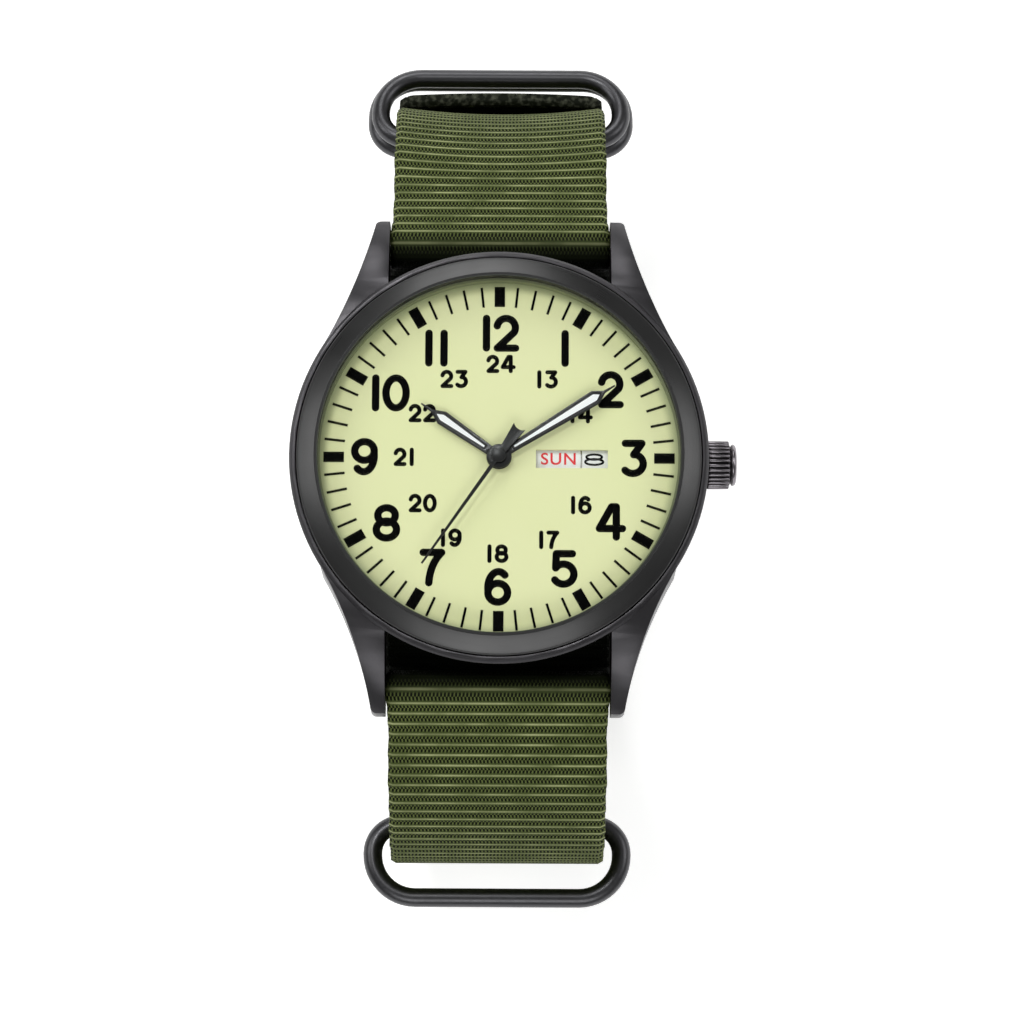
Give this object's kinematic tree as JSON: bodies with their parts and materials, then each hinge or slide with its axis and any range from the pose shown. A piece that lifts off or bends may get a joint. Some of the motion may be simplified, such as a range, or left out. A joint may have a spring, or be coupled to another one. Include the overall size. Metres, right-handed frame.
{
  "type": "wristwatch",
  "caption": "Round analogue field watch with day and date windows, lugs and spring bars, closed on a ringed webbing strap with a tongue buckle.",
  "frame": {"origin": "centre of the case back's flat outer face", "axes": "+Z out of the dial, +Y to 12 o'clock, +X to 3 o'clock and the crown"},
  "size_m": [0.0443, 0.0905, 0.0566],
  "materials": {
    "case_metal": "brushed gunmetal coating",
    "bezel_metal": "satin gunmetal coating",
    "back_steel": "brushed",
    "crystal_glass": "clear mineral glass",
    "black_seal": "matte",
    "surround_black": "satin",
    "holder_plastic": "moulded",
    "dial_lume": "matte luminous lacquer",
    "print_black": "ink",
    "hand_black": "lacquered",
    "hand_lume": "matte lume",
    "disc_white": "printed",
    "plate_metal": "grained",
    "wheel_brass": "turned",
    "wheel_plastic": "moulded",
    "board_green": "solder mask",
    "cell_steel": "bright",
    "coil_copper": "wound enamelled wire",
    "stator_iron": "stamped",
    "crown_metal": "satin gunmetal coating",
    "stem_steel": "turned",
    "bar_steel": "drawn",
    "strap_webbing": "ribbed nylon webbing",
    "ring_metal": "gloss black coating"
  },
  "bodies": {
    "watch": {"case_middle": "case_metal", "bezel": "bezel_metal", "crystal": "crystal_glass", "crystal_gasket": "black_seal", "case_back": "back_steel", "case_back_gasket": "black_seal", "dial_surround": "surround_black", "movement_holder": "holder_plastic", "crown_tube": "stem_steel", "dial": "dial_lume", "hour_markers": "print_black", "minute_markers": "print_black", "main_plate": "plate_metal", "train_bridge": "plate_metal", "circuit_board": "board_green", "movement_screws": "cell_steel", "battery": "cell_steel", "battery_clamp": "plate_metal", "quartz_can": "cell_steel", "coil": "coil_copper", "stator": "stator_iron", "calendar_plate": "plate_metal", "spring_bar_tube_12": "bar_steel", "spring_bar_tube_6": "bar_steel", "spring_bar_coil_12": "bar_steel", "spring_bar_coil_6": "bar_steel", "main_strap": "strap_webbing", "under_strap": "strap_webbing"},
    "seconds": {"second_hand": "hand_black", "second_wheel": "wheel_brass"},
    "third": {"third_wheel": "wheel_brass"},
    "minutes": {"minute_hand": "hand_black", "minute_hand_lume": "hand_lume", "centre_wheel": "wheel_brass"},
    "hours": {"hour_hand": "hand_black", "hour_hand_lume": "hand_lume", "hour_wheel": "wheel_brass"},
    "step": {"step_wheel": "wheel_plastic"},
    "motor_rotor": {"rotor": "wheel_plastic"},
    "motion_wheel": {"minute_wheel": "wheel_brass"},
    "setting": {"setting_wheel": "wheel_plastic"},
    "day": {"day_disc": "disc_white"},
    "date": {"date_disc": "disc_white"},
    "clutch": {"clutch_wheel": "stem_steel"},
    "crown_stem": {"crown": "crown_metal", "crown_gasket": "black_seal", "winding_stem": "stem_steel"},
    "lever": {"setting_lever": "plate_metal"},
    "pin_12_crown_side": {"spring_bar_pin_12_crown_side": "bar_steel"},
    "pin_12_far_side": {"spring_bar_pin_12_far_side": "bar_steel"},
    "pin_6_crown_side": {"spring_bar_pin_6_crown_side": "bar_steel"},
    "pin_6_far_side": {"spring_bar_pin_6_far_side": "bar_steel"},
    "front_ring": {"strap_ring_12": "ring_metal"},
    "back_ring": {"keeper_ring": "ring_metal"},
    "lower_ring": {"strap_ring_6": "ring_metal"},
    "buckle": {"buckle_frame": "ring_metal"},
    "tongue": {"buckle_tongue": "ring_metal"}
  },
  "joints": [
    {"name": "second_hand_turn", "type": "hinge", "parent": "watch", "child": "seconds", "pos_m": [0, 0, 0.005], "axis": [0, 0, -1], "continuous": true},
    {"name": "minute_hand_turn", "type": "hinge", "parent": "watch", "child": "minutes", "pos_m": [0, 0, 0.005], "axis": [0, 0, -1], "continuous": true},
    {"name": "hour_hand_turn", "type": "hinge", "parent": "watch", "child": "hours", "pos_m": [0, 0, 0.005], "axis": [0, 0, -1], "continuous": true},
    {"name": "third_wheel_turn", "type": "hinge", "parent": "watch", "child": "third", "pos_m": [0, 0.0034, 0.005], "axis": [0, 0, -1], "continuous": true},
    {"name": "step_wheel_turn", "type": "hinge", "parent": "watch", "child": "step", "pos_m": [-0.00321, -0.00117, 0.005], "axis": [0, 0, -1], "continuous": true},
    {"name": "rotor_turn", "type": "hinge", "parent": "watch", "child": "motor_rotor", "pos_m": [-0.00519, -0.00189, 0.005], "axis": [0, 0, -1], "continuous": true},
    {"name": "motion_wheel_turn", "type": "hinge", "parent": "watch", "child": "motion_wheel", "pos_m": [0.00207, -0.00075, 0.005], "axis": [0, 0, -1], "continuous": true},
    {"name": "setting_wheel_turn", "type": "hinge", "parent": "watch", "child": "setting", "pos_m": [0.0046, -0.00075, 0.005], "axis": [0, 0, -1], "continuous": true},
    {"name": "day_disc_turn", "type": "hinge", "parent": "watch", "child": "day", "pos_m": [0, 0, 0.005], "axis": [0, 0, -1], "continuous": true},
    {"name": "date_disc_turn", "type": "hinge", "parent": "watch", "child": "date", "pos_m": [0, 0, 0.005], "axis": [0, 0, -1], "continuous": true},
    {"name": "crown_turn", "type": "hinge", "parent": "watch", "child": "clutch", "pos_m": [0.0066, 0, 0.0042], "axis": [1, 0, 0], "continuous": true},
    {"name": "crown_pull", "type": "slide", "parent": "clutch", "child": "crown_stem", "axis": [1, 0, 0], "range_m": [0, 0.0012]},
    {"name": "spring_bar_12_crown_side", "type": "slide", "parent": "watch", "child": "pin_12_crown_side", "axis": [-1, 0, 0], "range_m": [0, 0.00085], "stiffness_N_per_m": 400, "springref_m": -0.0005, "deforming": ["spring_bar_coil_12"]},
    {"name": "spring_bar_12_far_side", "type": "slide", "parent": "watch", "child": "pin_12_far_side", "axis": [1, 0, 0], "range_m": [0, 0.00085], "stiffness_N_per_m": 400, "springref_m": -0.0005, "deforming": ["spring_bar_coil_12"]},
    {"name": "spring_bar_6_crown_side", "type": "slide", "parent": "watch", "child": "pin_6_crown_side", "axis": [-1, 0, 0], "range_m": [0, 0.00085], "stiffness_N_per_m": 400, "springref_m": -0.0005, "deforming": ["spring_bar_coil_6"]},
    {"name": "spring_bar_6_far_side", "type": "slide", "parent": "watch", "child": "pin_6_far_side", "axis": [1, 0, 0], "range_m": [0, 0.00085], "stiffness_N_per_m": 400, "springref_m": -0.0005, "deforming": ["spring_bar_coil_6"]},
    {"name": "setting_lever_swing", "type": "hinge", "parent": "watch", "child": "lever", "pos_m": [0.0102, 0.0022, 0.00458], "axis": [0, 0, 1], "range_deg": [0, 38.94]},
    {"name": "front_ring_tilt", "type": "hinge", "parent": "watch", "child": "front_ring", "pos_m": [0, 0.03928, -0.01572], "axis": [1, 0, 0], "range_deg": [-6, 10]},
    {"name": "back_ring_tilt", "type": "hinge", "parent": "watch", "child": "back_ring", "pos_m": [0, 0.03918, -0.01936], "axis": [1, 0, 0], "range_deg": [-8, 6]},
    {"name": "lower_ring_tilt", "type": "hinge", "parent": "watch", "child": "lower_ring", "pos_m": [0, -0.03361, -0.01784], "axis": [1, 0, 0], "range_deg": [-15, 15]},
    {"name": "buckle_lift", "type": "hinge", "parent": "watch", "child": "buckle", "pos_m": [0, 0.0008, -0.04237], "axis": [1, 0, 0], "range_deg": [0, 4]},
    {"name": "tongue_lift", "type": "hinge", "parent": "buckle", "child": "tongue", "pos_m": [0, 0.0008, -0.04237], "axis": [1, 0, 0], "range_deg": [0, 4]}
  ],
  "couplings": [
    {"joint": "step_wheel_turn", "follows": "rotor_turn", "ratio": -0.16667},
    {"joint": "second_hand_turn", "follows": "rotor_turn", "ratio": 0.033333},
    {"joint": "third_wheel_turn", "follows": "rotor_turn", "ratio": -0.0044444},
    {"joint": "minute_hand_turn", "follows": "rotor_turn", "ratio": 0.00055556},
    {"joint": "motion_wheel_turn", "follows": "rotor_turn", "ratio": -0.00018519},
    {"joint": "hour_hand_turn", "follows": "rotor_turn", "ratio": 0.000046296},
    {"joint": "setting_wheel_turn", "follows": "rotor_turn", "ratio": 0.00034722},
    {"joint": "setting_lever_swing", "follows": "crown_pull", "rad_per_m": 566.39}
  ]
}
